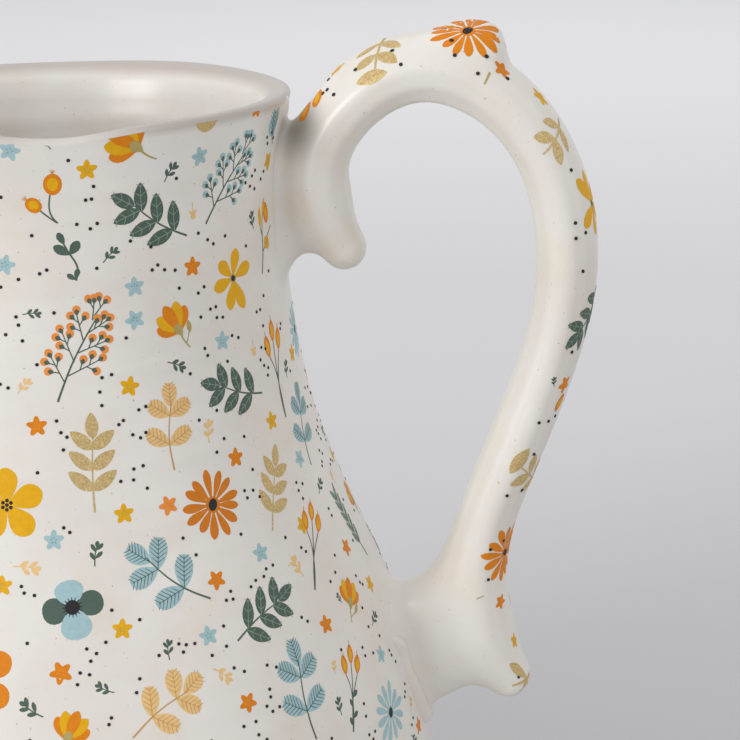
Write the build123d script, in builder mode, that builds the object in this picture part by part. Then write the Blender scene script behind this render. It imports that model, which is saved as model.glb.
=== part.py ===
"""Ceramic pitcher: thrown vessel, moulded scroll handle and the two slip joints that hold it.

Frame: origin at the centre of the foot on the table, +Z up along the vessel's axis,
the handle towards +X and the pouring spout towards -X.  Millimetres.
"""
import os
from math import copysign, cos, exp, pi, sin

from build123d import *

# ---- driving dimensions ----------------------------------------------------
rim_height = 221.5          # lip above the table
belly_radius = 85.0         # widest outside radius
belly_height = 60.0         # height of the widest place
neck_radius = 52.6          # narrowest outside radius of the neck
neck_waist = 202.0          # height of that narrowest place
flare_start = 214.5         # height where the lip begins to flare
flare_radius = 53.9         # outside radius there
rim_radius = 55.2           # outside of the lip, away from the spout
foot_radius = 58.0          # outside of the foot ring
foot_height = 4.0
foot_ring_width = 8.0
foot_edge_round = 1.2
wall = 5.4
floor_top = 9.5             # inside floor above the table
floor_radius = 44.0         # flat part of the inside floor
lip_round = 2.0             # rounding of the lip's two edges
lip_steps = 4               # flats that make up each rounded edge

spout_start = 150.0         # height where the spout begins to swell out of the neck
spout_reach = 16.0          # how far the pulled spout stands out past the round lip
spout_half_angle = 0.36     # spread of the spout round the rim, radians

bar_thickness = 13.8        # handle bar across its thin way
bar_width = 18.6            # handle bar across its wide way
arch_extra = 2.6            # extra thickness at the top of the arch
arch_spread = 0.09          # share of the bar's length that the extra thickness spreads over
curl_nose = 9.0             # length over which a curl's end rounds off
nose_share = 0.32           # thickness left at the very end of a curl
section_count = 30          # sections along the bar
spur_half_width = 5.6       # thumb spur on top of the arch

outline_points = 36         # points round each level section of the vessel
outside_steps = 24          # level sections up the outside
inside_steps = 24           # level sections up the cavity

slip_thickness = 0.6        # layer of slip between vessel and handle
collar_margin = 4.5         # how far a slip collar spreads past the handle's root

# Centre line of the handle bar, as distance from the axis and height over the rim:
# from the tip of the upper curl, over the arch and down to the tip of the lower curl.
scroll_points = [
    (67.5, -37.5),
    (61.2, -18.5),
    (67.5, -4.0),
    (84.5, 5.1),
    (101.5, -2.2),
    (112.3, -20.0),
    (114.5, -40.5),
    (110.6, -60.1),
    (101.8, -85.0),
    (95.9, -107.0),
    (97.5, -123.5),
    (103.0, -136.5),
]
arch_place = 0.25           # fraction of the centre line at the top of the arch

# Thumb spur in the same terms: up its back, round its tip and down its front.
spur_back = [(82.0, 11.0), (92.0, 13.4), (98.6, 14.8)]
spur_front = [(98.6, 14.8), (101.2, 11.6), (104.5, 1.5)]
spur_root = (92.0, -0.5)

# Roots and slip collars: middle height, height and width of the oval where they meet the
# wall, and their sections as (distance from the axis, share of that oval).
upper_root_height = rim_height - 22.0
upper_root_tall = 31.0
upper_root_wide = 16.0
upper_root_sections = [(48.0, 1.05), (58.0, 1.0), (64.0, 0.88)]
upper_collar_sections = [(46.0, 0.96), (53.2, 0.94), (58.0, 0.76)]
lower_root_height = rim_height - 127.0
lower_root_tall = 29.0
lower_root_wide = 18.0
lower_root_sections = [(70.0, 1.1), (84.0, 0.97), (96.0, 0.82)]
lower_collar_sections = [(66.0, 1.05), (80.0, 0.94), (86.0, 0.74)]


def above_table(points):
    """Points given by their height over the rim, as points above the table."""
    return [(reach, rim_height + rise) for reach, rise in points]


def oval(wide, tall, squareness=2.6, count=20):
    """Points of a rounded, slightly square oval, centred on the sketch's origin."""
    points = []
    for step in range(count):
        angle = 2 * pi * step / count
        across = copysign(abs(cos(angle)) ** (2 / squareness), cos(angle))
        along = copysign(abs(sin(angle)) ** (2 / squareness), sin(angle))
        points.append((wide / 2 * across, tall / 2 * along))
    return points


def level_section(radius, height):
    """One level section of the vessel, ready to be lofted; the spout swells towards -X."""
    swell = spout_reach * (max(0, height - spout_start) / (rim_height - spout_start)) ** 2
    points = []
    for step in range(outline_points):
        angle = 2 * pi * step / outline_points
        reach = radius + swell * exp(-(((angle - pi) / spout_half_angle) ** 2))
        points.append((reach * cos(angle), reach * sin(angle)))
    with BuildSketch(Plane.XY.offset(height)) as section:
        with BuildLine():
            Spline(*points, periodic=True)
        make_face()
    return section.sketch


def side_sections(side_line, count):
    """Level sections at even steps along one side of the wall's profile."""
    places = [side_line @ (step / count) for step in range(count + 1)]
    return [level_section(place.X, place.Z) for place in places]


def lip_sections(radius, outwards):
    """Level sections up one rounded edge of the lip; outwards is +1 for the cavity's edge."""
    sections = []
    for step in range(lip_steps + 1):
        turn = pi / 2 * step / lip_steps
        drawn_in = lip_round * (1 - cos(turn))
        sections.append(level_section(radius + outwards * drawn_in, lip_start + lip_round * sin(turn)))
    return sections


def root_section(reach, height, wide, tall):
    """One upright section of a handle root or of its slip collar, facing along X."""
    with BuildSketch(Plane.YZ.offset(reach)) as section:
        with BuildLine():
            Spline(*[(y, z + height) for y, z in oval(wide, tall)], periodic=True)
        make_face()
    return section.sketch


# ---- vessel: one thrown wall, floor, foot ring, waisted neck, rounded lip and pulled spout ----
lip_start = rim_height - lip_round
outside_points = [
    (foot_radius + 1.5, foot_height),
    (belly_radius, belly_height),
    (76.9, 101.5),
    (60.5, 142.0),
    (53.4, 181.0),
    (neck_radius, neck_waist),
    (flare_radius, flare_start),
    (rim_radius, lip_start),
]
inside_points = [(reach - wall, height) for reach, height in outside_points[1:]]
outside_slopes = [(0.8, 1), (0.22, 1)]
inside_slopes = [(1, 0.1), (0.22, 1)]

with BuildLine(Plane.XZ) as outside:
    outside_line = Spline(*outside_points, tangents=outside_slopes)
with BuildLine(Plane.XZ) as inside:
    inside_line = Spline((floor_radius, floor_top), *inside_points, tangents=inside_slopes)

with BuildPart() as vessel_outline:
    loft(side_sections(outside_line, outside_steps))

with BuildPart() as vessel:
    add(vessel_outline.part)
    with BuildSketch(Plane.XY) as foot_ring:
        Circle(foot_radius)
        Circle(foot_radius - foot_ring_width, mode=Mode.SUBTRACT)
    extrude(amount=foot_height)
    loft(lip_sections(rim_radius, -1), ruled=True)
    loft(side_sections(inside_line, inside_steps), mode=Mode.SUBTRACT)
    loft(lip_sections(rim_radius - wall, 1), ruled=True, mode=Mode.SUBTRACT)
    fillet(vessel.edges().group_by(Axis.Z)[0], radius=foot_edge_round)

# ---- outside of the vessel grown by the slip layer: it trims the handle's roots ----
with BuildPart() as slip_face:
    with BuildSketch(Plane.XZ):
        with BuildLine():
            grown = Spline(*[(reach + slip_thickness, height) for reach, height in outside_points],
                           tangents=outside_slopes)
            above_rim = rim_height + 8.0
            Polyline(grown @ 1, (rim_radius + slip_thickness, above_rim), (0, above_rim),
                     (0, foot_height), grown @ 0)
        make_face()
    revolve(axis=Axis.Z)

# ---- handle: scroll bar with a thumb spur, an upper curl and a lower curl ----
with BuildLine(Plane.XZ) as scroll:
    scroll_line = Spline(*above_table(scroll_points))
scroll_length = scroll_line.length


def nose_scale(place):
    """Share of the full section left near a curl's end, rounding it off like a nose."""
    from_end = min(place, 1 - place) * scroll_length
    if from_end >= curl_nose:
        return 1.0
    return max(nose_share, (1 - (1 - from_end / curl_nose) ** 2) ** 0.5)


def bar_section(place):
    """Width and thickness of the bar at a fraction of its length."""
    swell = arch_extra * exp(-(((place - arch_place) / arch_spread) ** 2))
    scale = nose_scale(place)
    return bar_width * (0.4 + 0.6 * scale), (bar_thickness + swell) * scale


with BuildPart() as handle:
    for step in range(section_count + 1):
        place = step / section_count
        wide, thick = bar_section(place)
        with BuildSketch(Plane(scroll_line @ place, x_dir=(0, 1, 0), z_dir=scroll_line % place)):
            with BuildLine():
                Spline(*oval(wide, thick), periodic=True)
            make_face()
    loft()
    loft([root_section(reach, upper_root_height, upper_root_wide * share, upper_root_tall * share)
          for reach, share in upper_root_sections])
    loft([root_section(reach, lower_root_height, lower_root_wide * share, lower_root_tall * share)
          for reach, share in lower_root_sections])
    with BuildSketch(Plane.XZ) as spur_section:
        with BuildLine():
            Spline(*above_table(spur_back))
            Spline(*above_table(spur_front))
            Polyline(*above_table([spur_front[-1], spur_root, spur_back[0]]))
        make_face()
    extrude(amount=spur_half_width, both=True)
    add(slip_face.part, mode=Mode.SUBTRACT)

# ---- slip joints: the clay paste between the roots and the wall, smoothed into a collar ----
with BuildPart() as upper_slip_joint:
    collar_wide = upper_root_wide + 2 * collar_margin
    collar_tall = upper_root_tall + 2 * collar_margin
    loft([root_section(reach, upper_root_height, collar_wide * share, collar_tall * share)
          for reach, share in upper_collar_sections])
    add(vessel_outline.part, mode=Mode.SUBTRACT)
    add(handle.part, mode=Mode.SUBTRACT)

with BuildPart() as lower_slip_joint:
    collar_wide = lower_root_wide + 2 * collar_margin
    collar_tall = lower_root_tall + 2 * collar_margin
    loft([root_section(reach, lower_root_height, collar_wide * share, collar_tall * share)
          for reach, share in lower_collar_sections])
    add(vessel_outline.part, mode=Mode.SUBTRACT)
    add(handle.part, mode=Mode.SUBTRACT)

# ---- files ------------------------------------------------------------------
vessel.part.label = "vessel"
handle.part.label = "handle"
upper_slip_joint.part.label = "upper_slip_joint"
lower_slip_joint.part.label = "lower_slip_joint"

os.makedirs("parts", exist_ok=True)
export_step(vessel.part, "parts/vessel.step")
export_step(handle.part, "parts/handle.step")
export_step(upper_slip_joint.part, "parts/upper_slip_joint.step")
export_step(lower_slip_joint.part, "parts/lower_slip_joint.step")
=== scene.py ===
"""Ceramic pitcher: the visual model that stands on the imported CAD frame.

The frame's axes hold here too: +Z up the vessel's axis, +X to the handle, -X to the spout.
Shapes are worked out in millimetres and turned into metres when a mesh is made.
Angles round the vessel are in degrees from the handle, counter-clockwise seen from above.
"""
import math
import random

import bpy
import numpy as np
from mathutils import Matrix, Vector


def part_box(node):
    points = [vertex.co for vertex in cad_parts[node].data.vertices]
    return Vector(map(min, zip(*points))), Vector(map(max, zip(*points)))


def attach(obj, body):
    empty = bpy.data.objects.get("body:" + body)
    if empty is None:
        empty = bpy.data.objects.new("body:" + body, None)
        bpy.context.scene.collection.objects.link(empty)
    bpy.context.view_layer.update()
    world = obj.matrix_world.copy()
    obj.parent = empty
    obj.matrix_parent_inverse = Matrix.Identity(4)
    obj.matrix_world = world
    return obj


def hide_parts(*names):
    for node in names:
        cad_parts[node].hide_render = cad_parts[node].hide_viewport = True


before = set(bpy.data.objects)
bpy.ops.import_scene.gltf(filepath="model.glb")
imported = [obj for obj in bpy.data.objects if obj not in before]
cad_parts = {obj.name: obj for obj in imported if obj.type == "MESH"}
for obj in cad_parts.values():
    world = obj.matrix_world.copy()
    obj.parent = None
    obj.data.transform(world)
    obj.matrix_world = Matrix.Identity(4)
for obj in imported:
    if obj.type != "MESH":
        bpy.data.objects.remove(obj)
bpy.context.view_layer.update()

MM = 0.001
CAMERA_PLACE = (0.1106, -0.3688, 0.2725)     # metres
CAMERA_ANGLES = (6, 16.94, 0.81)             # turn, tilt and roll in degrees

# ---- sizes taken from the frame, in mm ---------------------------------------
vessel_low, vessel_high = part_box("vessel")
handle_low, handle_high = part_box("handle")
RIM_HEIGHT = vessel_high[2] / MM
BELLY_RADIUS = vessel_high[0] / MM
BAR_HALF_WIDTH = handle_high[1] / MM

# ---- vessel sizes, in mm -------------------------------------------------------
WALL = 5.4
LIP_EDGE = 1.1              # rounding of the lip's outer edge
LIP_INSIDE = (3.6, 5.2)     # width and depth of the softer rounding towards the cavity
INSIDE_TURN = 1.4           # radians it turns through before it runs into the cavity's wall
LIP_WIDTH = 5.9
CREST_DROP = 0.2            # fall of the lip's crest towards the cavity
LIP_START = RIM_HEIGHT - LIP_EDGE
CUT_START = 205.0           # above this the wall follows the uneven lip
FOOT_HEIGHT = 4.0
FOOT_RADIUS = 58.0
FOOT_RING_WIDTH = 8.0
BASE_ROUND = 0.8            # where the foot ring meets the base
RING_ROUND = (1.2, 1.3)     # inner and outer edges of the ring's face
FLOOR_TOP = 9.5
FLOOR_RADIUS = 30.0         # nearly flat middle of the inside floor
CAVITY_ROUND = 62.0         # below this the cavity's side rounds in to the floor
SPOUT_START = 150.0
SPOUT_REACH = 16.0
SPOUT_SPREAD = 0.36         # radians
RING_RELIEF = 0.10          # depth of the throwing rings
INSIDE_PITCH = 7.3          # climb of the spiral inside, per turn


# ---- smooth curves ---------------------------------------------------------------
def smooth_curve(knots, values, start_slope=None, end_slope=None):
    """Cubic spline through (knot, value) pairs, as a function; free ends unless a slope is given."""
    knots = np.asarray(knots, float)
    values = np.asarray(values, float)
    count = len(knots)
    gap = np.diff(knots)
    rise = np.diff(values, axis=0).T / gap
    rise = rise.T
    matrix = np.zeros((count, count))
    right = np.zeros(values.shape)
    for i in range(1, count - 1):
        matrix[i, i - 1] = gap[i - 1]
        matrix[i, i] = 2 * (gap[i - 1] + gap[i])
        matrix[i, i + 1] = gap[i]
        right[i] = 6 * (rise[i] - rise[i - 1])
    matrix[0, 0] = matrix[-1, -1] = 1
    if start_slope is not None:
        matrix[0, 0] = 2 * gap[0]
        matrix[0, 1] = gap[0]
        right[0] = 6 * (rise[0] - start_slope)
    if end_slope is not None:
        matrix[-1, -1] = 2 * gap[-1]
        matrix[-1, -2] = gap[-1]
        right[-1] = 6 * (end_slope - rise[-1])
    bend = np.linalg.solve(matrix, right)

    def curve(at):
        at = np.asarray(at, float)
        i = np.clip(np.searchsorted(knots, at) - 1, 0, count - 2)
        left = (knots[i + 1] - at)
        along = (at - knots[i])
        width = gap[i]
        if values.ndim > 1:
            left, along, width = left[..., None], along[..., None], width[..., None]
        return (bend[i] * left**3 / (6 * width) + bend[i + 1] * along**3 / (6 * width)
                + (values[i] / width - bend[i] * width / 6) * left
                + (values[i + 1] / width - bend[i + 1] * width / 6) * along)

    return curve


def bump(value, centre, spread):
    """Bell curve of height 1."""
    return np.exp(-(((value - centre) / spread) ** 2))


def ease(value, low, high):
    """Smooth step from 0 at low to 1 at high."""
    share = np.clip((value - low) / (high - low), 0, 1)
    return share * share * (3 - 2 * share)


# ---- the vessel's wall -----------------------------------------------------------
wall_radius = smooth_curve(
    [FOOT_HEIGHT, 60.0, 101.5, 142.0, 181.0, 202.0, 214.5, LIP_START],
    [FOOT_RADIUS + 1.5, BELLY_RADIUS - 0.2, 76.9, 60.5, 53.4, 52.6, 53.9, 55.2],
    start_slope=0.8, end_slope=0.24)


def spout_swell(angle, height):
    """How far the pulled spout stands out past the round neck; angle in radians."""
    share = np.clip((height - SPOUT_START) / (RIM_HEIGHT - SPOUT_START), 0, 1)
    from_spout = (np.mod(angle, 2 * np.pi) - np.pi) / SPOUT_SPREAD
    return SPOUT_REACH * share**2 * np.exp(-(from_spout**2))


def throwing_rings(angle, height):
    """Inward relief left by the thrower's fingers: uneven, slightly climbing rings."""
    angle = np.mod(angle, 2 * np.pi)
    climb = height - 0.5 * angle
    coarse = np.sin(2 * np.pi * climb / 6.1 + 0.9 * np.sin(climb / 17))
    fine = np.sin(2 * np.pi * climb / 3.7 + 1.3 * np.sin(climb / 11 + 2))
    strength = 0.55 + 0.45 * np.sin(height / 9 + 1.7 * np.sin(angle + height / 23))
    wave = 0.5 + 0.3 * coarse + 0.2 * fine * strength
    from_handle = np.abs(np.mod(angle + np.pi, 2 * np.pi) - np.pi)
    clear_of_roots = ease(from_handle, 0.28, 0.5)
    clear_of_ends = ease(height, 10, 24) * ease(LIP_START - height, 0, 7)
    return -RING_RELIEF * wave * clear_of_roots * clear_of_ends


def rim_rise(angle):
    """How far the hand-finished lip stands over or under its mean level; it dips to lift at the spout."""
    degrees = np.degrees(np.mod(angle + np.pi, 2 * np.pi) - np.pi)
    dips = 0.5 * bump(degrees, 66, 22) - 1.65 * bump(degrees, -69, 14)
    return dips + 0.55 * bump(np.abs(degrees), 180, 24) - 0.55


def rim_cut(angle, height):
    """Actual height of a level row, which follows the uneven lip near the top."""
    share = np.clip((height - CUT_START) / (LIP_START - CUT_START), 0, 1)
    return height + rim_rise(angle) * share


def outside_point(angle, height):
    """Points on the glazed outside wall, in mm; angle in radians."""
    radius = wall_radius(height) + spout_swell(angle, height) + throwing_rings(angle, height)
    return np.stack([radius * np.cos(angle), radius * np.sin(angle), height + 0 * angle], -1)


def outside_normal(angle, height):
    """Unit normals of the outside wall, from small steps round and up it."""
    step = 0.4
    up = outside_point(angle, height + step) - outside_point(angle, height - step)
    turn = step / 60
    around = outside_point(angle + turn, height) - outside_point(angle - turn, height)
    normal = np.cross(around, up)
    return normal / np.linalg.norm(normal, axis=-1, keepdims=True)


# ---- mesh making -------------------------------------------------------------------
def make_piece(name, points, faces, materials, node=None):
    """A smooth mesh object from mm points that rides on the only body, and may stand for a CAD node."""
    mesh = bpy.data.meshes.new(name)
    mesh.from_pydata((np.asarray(points) * MM).tolist(), [], faces)
    mesh.validate()
    mesh.polygons.foreach_set("use_smooth", [True] * len(mesh.polygons))
    piece = bpy.data.objects.new(name, mesh)
    bpy.context.scene.collection.objects.link(piece)
    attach(piece, "root")
    if node:
        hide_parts(node)
    for material in materials:
        mesh.materials.append(material)
    return piece


def vessel_profile():
    """Half-section of the vessel from under the foot to the inside floor: rows of (radius, height, zone)."""
    quarter = np.pi / 2
    ring_inside = FOOT_RADIUS - FOOT_RING_WIDTH
    base = FOOT_HEIGHT - BASE_ROUND
    rows = [(radius, base, "clay") for radius in np.linspace(1.0, ring_inside - 1.0, 18)]
    rows += [(ring_inside - BASE_ROUND * (1 - np.sin(turn)), base - BASE_ROUND * (1 - np.cos(turn)), "clay")
             for turn in np.linspace(0, quarter, 6)]
    rows += [(ring_inside + RING_ROUND[0] * (1 - np.cos(turn)), RING_ROUND[0] * (1 - np.sin(turn)), "clay")
             for turn in np.linspace(0, quarter, 6)]
    rows += [(FOOT_RADIUS - RING_ROUND[1] * (1 - np.sin(turn)), RING_ROUND[1] * (1 - np.cos(turn)), "clay")
             for turn in np.linspace(0, quarter, 7)]
    rows += [(FOOT_RADIUS + flare, height, zone)
             for flare, height, zone in ((0.05, 2.2, "clay"), (0.25, 3.0, "outside"), (0.8, 3.6, "outside"))]
    rows += [(float(wall_radius(z)), z, "outside") for z in np.arange(FOOT_HEIGHT + 0.3, LIP_START, 0.62)]
    lip_radius = float(wall_radius(LIP_START))
    rows += [(lip_radius - LIP_EDGE * (1 - np.cos(turn)), LIP_START + LIP_EDGE * np.sin(turn), "lip")
             for turn in np.linspace(0, quarter, 8)]
    crest = lip_radius - LIP_EDGE
    inner_edge = lip_radius - LIP_WIDTH + LIP_INSIDE[0]
    rows += [(crest + (inner_edge - crest) * share, RIM_HEIGHT - CREST_DROP * share**2, "lip")
             for share in np.linspace(0, 1, 5)[1:-1]]
    crest_edge = RIM_HEIGHT - CREST_DROP
    cavity_top = crest_edge - LIP_INSIDE[1]
    round_wide = (inner_edge - float(wall_radius(cavity_top)) + LIP_WIDTH) / math.sin(INSIDE_TURN)
    round_deep = LIP_INSIDE[1] / (1 - math.cos(INSIDE_TURN))
    rows += [(inner_edge - round_wide * np.sin(turn), crest_edge - round_deep * (1 - np.cos(turn)), "lip")
             for turn in np.linspace(0, INSIDE_TURN, 11)]
    for z in np.arange(cavity_top - 0.7, CAVITY_ROUND, -1.4):
        thickness = WALL + (LIP_WIDTH - WALL) * ease(z, RIM_HEIGHT - 24, RIM_HEIGHT - 6)
        rows.append((float(wall_radius(z)) - thickness, z, "inside"))
    low_radius, low_height, _ = rows[-1]
    for turn in np.linspace(0, quarter, 46)[1:]:
        radius = FLOOR_RADIUS + (low_radius - FLOOR_RADIUS) * np.cos(turn) ** 0.85
        rows.append((radius, low_height - (low_height - FLOOR_TOP) * np.sin(turn), "inside"))
    rows += [(radius, FLOOR_TOP - 0.5 * (1 - radius / FLOOR_RADIUS) ** 2, "inside")
             for radius in np.linspace(FLOOR_RADIUS - 2.5, 1.0, 12)]
    return rows


def make_vessel(materials):
    """The thrown body: rings, spout, lip, cavity and foot in one closed skin."""
    turns = 480
    rows = vessel_profile()
    angles = np.arange(turns) * 2 * np.pi / turns
    points = []
    for radius, height, zone in rows:
        level = rim_cut(angles, height)
        shift = 0
        if height > CUT_START:
            edge = min(height, LIP_START)
            shift = wall_radius(rim_cut(angles, edge)) - wall_radius(edge)
        reach = radius + shift + spout_swell(angles, level)
        if zone == "outside":
            reach = reach + throwing_rings(angles, level)
        if zone == "inside":
            climb = height / INSIDE_PITCH + angles / (2 * np.pi)
            reach = reach + RING_RELIEF * np.sin(2 * np.pi * climb) * ease(LIP_START - height, 3, 12)
        points.append(np.stack([reach * np.cos(angles), reach * np.sin(angles), level], -1))
    points = np.concatenate(points + [[[0, 0, rows[0][1]]], [[0, 0, rows[-1][1]]]])
    slot_of = {"outside": 0, "lip": 0, "clay": 1, "inside": 2}
    faces = []
    slots = []
    for row in range(len(rows) - 1):
        here, above = row * turns, (row + 1) * turns
        for turn in range(turns):
            after = (turn + 1) % turns
            faces.append((here + turn, here + after, above + after, above + turn))
            slots.append(slot_of[rows[row][2]])
    under, inside = len(points) - 2, len(points) - 1
    last = (len(rows) - 1) * turns
    for turn in range(turns):
        after = (turn + 1) % turns
        faces += [(under, after, turn), (inside, last + turn, last + after)]
        slots += [slot_of["clay"], slot_of["inside"]]
    piece = make_piece("vessel_body", points, faces, materials, "vessel")
    piece.data.polygons.foreach_set("material_index", slots)


# ---- the handle as a distance field --------------------------------------------------
# Centre line of the bar: distance from the axis and height over the rim, from the tip of
# the upper curl, over the arch and down to the tip of the lower curl.
SCROLL = [(66.6, -34.1), (62.2, -25.5), (61.2, -16.5), (67.5, -4.0), (84.5, 5.1), (101.5, -2.2),
          (112.3, -20.0), (114.5, -40.5), (110.6, -60.1), (101.8, -85.0), (95.9, -107.0), (97.6, -123.2),
          (104.0, -134.9)]
scroll_points = np.array([(reach, RIM_HEIGHT + rise) for reach, rise in SCROLL])
scroll_steps = np.concatenate([[0], np.cumsum(np.linalg.norm(np.diff(scroll_points, axis=0), axis=1))])
scroll_curve = smooth_curve(scroll_steps, scroll_points)
SCROLL_LENGTH = float(scroll_steps[-1])
line_places = np.linspace(0, SCROLL_LENGTH, 420)
line_points = scroll_curve(line_places)
line_along = np.gradient(line_points, axis=0)
line_along /= np.linalg.norm(line_along, axis=1, keepdims=True)
line_out = np.stack([-line_along[:, 1], line_along[:, 0]], -1)
line_share = line_places / SCROLL_LENGTH
SPUR_SHARE = 0.289          # place of the thumb spur along the bar
SPUR_RISE = 5.1
TIP_HALF = (4.6, 3.7)       # half thickness at the tips of the upper and the lower curl

# Half of the bar's section, in shares of its half width and half thickness; outer face first.
SECTION = ((0.0, 1.0), (0.40, 0.88), (0.76, 0.52), (1.0, -0.02), (0.94, -0.42), (0.62, -0.88), (0.0, -1.0))
SECTION_ROUND = 3.7         # rounding of that section


def bar_sizes(share):
    """Half thickness outwards, half thickness inwards and half width along the bar."""
    climb = ease(share, SPUR_SHARE - 0.05, SPUR_SHARE + 0.003)
    fall = 1 - ease(share, SPUR_SHARE + 0.004, SPUR_SHARE + 0.031)
    outwards = 6.4 + 1.1 * bump(share, 0.2, 0.07) + 0.4 * bump(share, 0.5, 0.08) + SPUR_RISE * climb * fall
    inwards = (6.5 + 1.2 * bump(share, 0.26, 0.08) + 0.8 * bump(share, 0.04, 0.04)
               - 0.3 * bump(share, 0.6, 0.05))
    close = ease(np.minimum(share, 1 - share) * SCROLL_LENGTH, -4, 16)
    tip_half = np.where(share < 0.5, *TIP_HALF)
    outwards = tip_half + (outwards - tip_half) * close
    inwards = tip_half + (inwards - tip_half) * close
    half_width = (BAR_HALF_WIDTH - 0.15) * (0.62 + 0.38 * close)
    return outwards, inwards, half_width


def bar_frame(x, z):
    """Place beside the centre line for points of the handle's plane: offset outwards and the bar's sizes."""
    flat = np.stack([x, z], -1)
    shape = flat.shape[:-1]
    flat = flat.reshape(-1, 2)
    nearest = np.empty(len(flat), int)
    chunk = 20000
    for start in range(0, len(flat), chunk):
        part = flat[start:start + chunk]
        gap = ((part[:, None, :] - line_points[None]) ** 2).sum(-1)
        nearest[start:start + chunk] = gap.argmin(1)
    offset = flat - line_points[nearest]
    out = (offset * line_out[nearest]).sum(-1)
    along = (offset * line_along[nearest]).sum(-1)
    step = SCROLL_LENGTH / (len(line_places) - 1)
    share = line_share[nearest] + np.clip(along, -step, step) / SCROLL_LENGTH
    past_end = (nearest == 0) | (nearest == len(line_points) - 1)
    out = np.where(past_end, np.copysign(np.hypot(out, along), out), out)
    outwards, inwards, half_width = bar_sizes(np.clip(share, 0, 1))
    return [values.reshape(shape) for values in (out, outwards, inwards, half_width)]


def section_distance(across, out, outwards, inwards, half_width):
    """Signed distance to the bar's rounded half section."""
    best = np.full(np.broadcast(across, out).shape, 1e9)
    inside = np.full(best.shape, -1e9)
    corners = []
    for side, level in SECTION:
        height = level * (np.where(level >= 0, outwards, inwards) - SECTION_ROUND)
        corners.append((side * (half_width - SECTION_ROUND), height))
    for (ax, ay), (bx, by) in zip(corners[:-1], corners[1:]):
        ex, ey = bx - ax, by - ay
        length = np.hypot(ex, ey)
        share = np.clip(((across - ax) * ex + (out - ay) * ey) / length**2, 0, 1)
        gap = np.hypot(across - ax - share * ex, out - ay - share * ey)
        best = np.minimum(best, gap)
        plane = ((across - ax) * -ey + (out - ay) * ex) / length
        inside = np.maximum(inside, plane)
    return np.where(inside < 0, -best, best) - SECTION_ROUND


def pad_distance(x, y, z, centre, half, squareness=2.5):
    """Rough signed distance to a squarish ellipsoid."""
    total = sum((np.abs(p - c) / h) ** squareness for p, c, h in zip((x, y, z), centre, half))
    return (total ** (1 / squareness) - 1) * min(half)


def melt(first, second, reach):
    """Smooth union of two distances, blended over the given reach."""
    share = np.clip(0.5 + 0.5 * (second - first) / reach, 0, 1)
    return second + (first - second) * share - reach * share * (1 - share)


UPPER_MIDDLE = RIM_HEIGHT - 22.0
LOWER_MIDDLE = RIM_HEIGHT - 127.0
UPPER_ROOT = ((56.0, 0.0, UPPER_MIDDLE), (6.0, 5.6, 13.6))
LOWER_ROOT = ((82.1, 0.0, RIM_HEIGHT - 127.3), (11.6, 7.4, 14.8))
UPPER_MELT = 4.0            # how softly the bar runs into its upper root
LOWER_MELT = 11.9           # and into its lower one


def handle_distance(x, y, z, beside=None):
    """Signed distance to the moulded handle with its two roots, before it meets the wall."""
    bar = section_distance(np.abs(y), *(beside or bar_frame(x, z)))
    upper = pad_distance(x, y, z, *UPPER_ROOT)
    lower = pad_distance(x, y, z, *LOWER_ROOT)
    return melt(melt(bar, lower, LOWER_MELT), upper, UPPER_MELT)


def wall_distance(x, y, z):
    """Approximate signed distance to the vessel's outside, away from the spout."""
    height = np.clip(z, FOOT_HEIGHT, LIP_START)
    slope = (wall_radius(np.clip(height + 0.5, FOOT_HEIGHT, LIP_START))
             - wall_radius(np.clip(height - 0.5, FOOT_HEIGHT, LIP_START)))
    beside = (np.hypot(x, y) - wall_radius(height)) / np.sqrt(1 + slope**2)
    return np.maximum(beside, z - LIP_START + 3)


SINK = 0.05                 # how far a feathered edge lies under the wall's surface
EMBED = 1.2                 # how deep a root reaches into the wall


def luted_distance(x, y, z, beside=None):
    """Handle melted into the wall, kept to the stretch round its own shape."""
    handle = handle_distance(x, y, z, beside)
    wall = wall_distance(x, y, z) + SINK
    under_rim = RIM_HEIGHT - z
    reach = (0.5 + 2.5 * ease(under_rim, 3, 6) + 3.0 * bump(under_rim, 37, 6)
             + 2.0 * ease(under_rim, 60, 90))
    body = melt(handle, wall, reach)
    body = np.maximum(body, -(wall + EMBED))
    return np.maximum(body, handle - reach * 0.99)


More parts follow.
